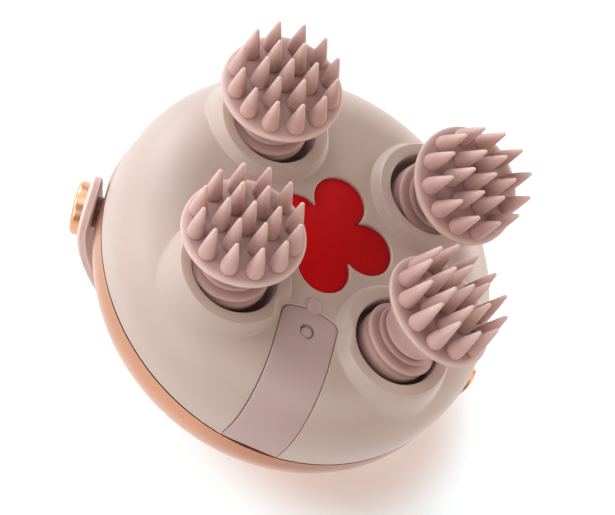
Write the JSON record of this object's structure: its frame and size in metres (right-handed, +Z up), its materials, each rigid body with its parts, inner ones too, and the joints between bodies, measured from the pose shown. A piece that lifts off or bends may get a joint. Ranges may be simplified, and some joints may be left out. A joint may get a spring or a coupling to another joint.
{
  "type": "electric scalp massager",
  "caption": "Round palm-held scalp massager with leaning heads of soft spikes that turn in opposite pairs, a light window, a hinged charging cover, a power button and a fixed hand strap.",
  "frame": {"origin": "centre of the strap's flat, where the part stands, straight below the middle of the body", "axes": "+Z up, the way the heads point; +X along the strap, from the motor's side to the other; -Y towards the port cover"},
  "size_m": [0.1244, 0.112, 0.1107],
  "materials": {
    "front_shell": "satin, dusty beige pink",
    "rose_gold": "satin rose gold paint",
    "polished_rose_gold": "polished rose gold",
    "cover_mauve": "satin mauve",
    "silicone": "matte dusty pink silicone",
    "strap_pink": "satin dusty pink",
    "window_red": "glossy deep red, lets light through",
    "seal_black": "matte",
    "hub_plastic": "moulded",
    "steel": "ground",
    "bronze": "sintered",
    "acetal": "moulded natural white",
    "plate_aluminium": "stamped",
    "board_green": "solder mask",
    "led_white": "clear resin over white",
    "battery_wrap": "shrink wrap",
    "chip_black": "moulded",
    "post_brown": "satin dark brown"
  },
  "bodies": {
    "casing": {"front_casing": "front_shell", "rear_casing": "rose_gold", "strap": "strap_pink", "strap_button_left": "polished_rose_gold", "strap_button_right": "polished_rose_gold", "casing_seal": "seal_black", "shaft_seals": "seal_black", "casing_screws": "steel", "light_screws": "steel", "cover_pin": "steel", "charging_socket": "steel", "plate_screws": "steel", "gear_axles": "steel", "motor": "steel", "motor_screws": "steel", "board_screws": "steel", "strap_screws": "steel", "light_window": "window_red", "light_board": "board_green", "charging_board": "board_green", "circuit_board": "board_green", "switch_board": "board_green", "light_leds": "led_white", "upper_bushes": "bronze", "lower_bushes": "bronze", "chassis_plate": "plate_aluminium", "battery": "battery_wrap", "board_parts": "chip_black", "button_switch": "chip_black", "strap_post_left": "post_brown", "strap_post_right": "post_brown"},
    "head_1": {"head_1_cap": "silicone", "head_1_hub": "hub_plastic", "head_1_shaft": "steel", "head_1_gear": "acetal"},
    "head_2": {"head_2_cap": "silicone", "head_2_hub": "hub_plastic", "head_2_shaft": "steel", "head_2_gear": "acetal"},
    "head_3": {"head_3_cap": "silicone", "head_3_hub": "hub_plastic", "head_3_shaft": "steel", "head_3_gear": "acetal"},
    "head_4": {"head_4_cap": "silicone", "head_4_hub": "hub_plastic", "head_4_shaft": "steel", "head_4_gear": "acetal"},
    "drive_gear_left": {"drive_gear_left": "acetal"},
    "drive_gear_right": {"drive_gear_right": "acetal"},
    "motor_rotor": {"motor_shaft": "steel", "motor_pinion": "bronze"},
    "port_cover": {"port_cover": "cover_mauve"},
    "power_button": {"power_button": "polished_rose_gold"}
  },
  "joints": [
    {"name": "head_1_spin", "type": "hinge", "parent": "casing", "child": "head_1", "pos_m": [-0.024, 0.024, 0.07067], "axis": [0, 0, 1], "continuous": true},
    {"name": "head_2_spin", "type": "hinge", "parent": "casing", "child": "head_2", "pos_m": [-0.024, -0.024, 0.07067], "axis": [0, 0, 1], "continuous": true},
    {"name": "head_3_spin", "type": "hinge", "parent": "casing", "child": "head_3", "pos_m": [0.024, 0.024, 0.07067], "axis": [0, 0, 1], "continuous": true},
    {"name": "head_4_spin", "type": "hinge", "parent": "casing", "child": "head_4", "pos_m": [0.024, -0.024, 0.07067], "axis": [0, 0, 1], "continuous": true},
    {"name": "drive_gear_left_spin", "type": "hinge", "parent": "casing", "child": "drive_gear_left", "pos_m": [-0.014, 0, 0.06207], "axis": [0, 0, 1], "continuous": true},
    {"name": "drive_gear_right_spin", "type": "hinge", "parent": "casing", "child": "drive_gear_right", "pos_m": [0.014, 0, 0.06207], "axis": [0, 0, 1], "continuous": true},
    {"name": "motor_spin", "type": "hinge", "parent": "casing", "child": "motor_rotor", "pos_m": [-0.035, 0, 0.06207], "axis": [0, 0, 1], "continuous": true},
    {"name": "port_cover_hinge", "type": "hinge", "parent": "casing", "child": "port_cover", "pos_m": [0, -0.0545, 0.05457], "axis": [1, 0, 0], "range_deg": [0, 75]},
    {"name": "power_button_press", "type": "slide", "parent": "casing", "child": "power_button", "axis": [0, 0, 1], "range_m": [0, 0.0008], "stiffness_N_per_m": 400, "springref_m": -0.001}
  ],
  "couplings": [
    {"joint": "head_2_spin", "follows": "head_1_spin", "ratio": 1},
    {"joint": "head_3_spin", "follows": "head_1_spin", "ratio": -1},
    {"joint": "head_4_spin", "follows": "head_1_spin", "ratio": -1},
    {"joint": "drive_gear_left_spin", "follows": "head_1_spin", "ratio": -0.85714},
    {"joint": "drive_gear_right_spin", "follows": "head_1_spin", "ratio": 0.85714},
    {"joint": "motor_spin", "follows": "head_1_spin", "ratio": 1.7143}
  ]
}
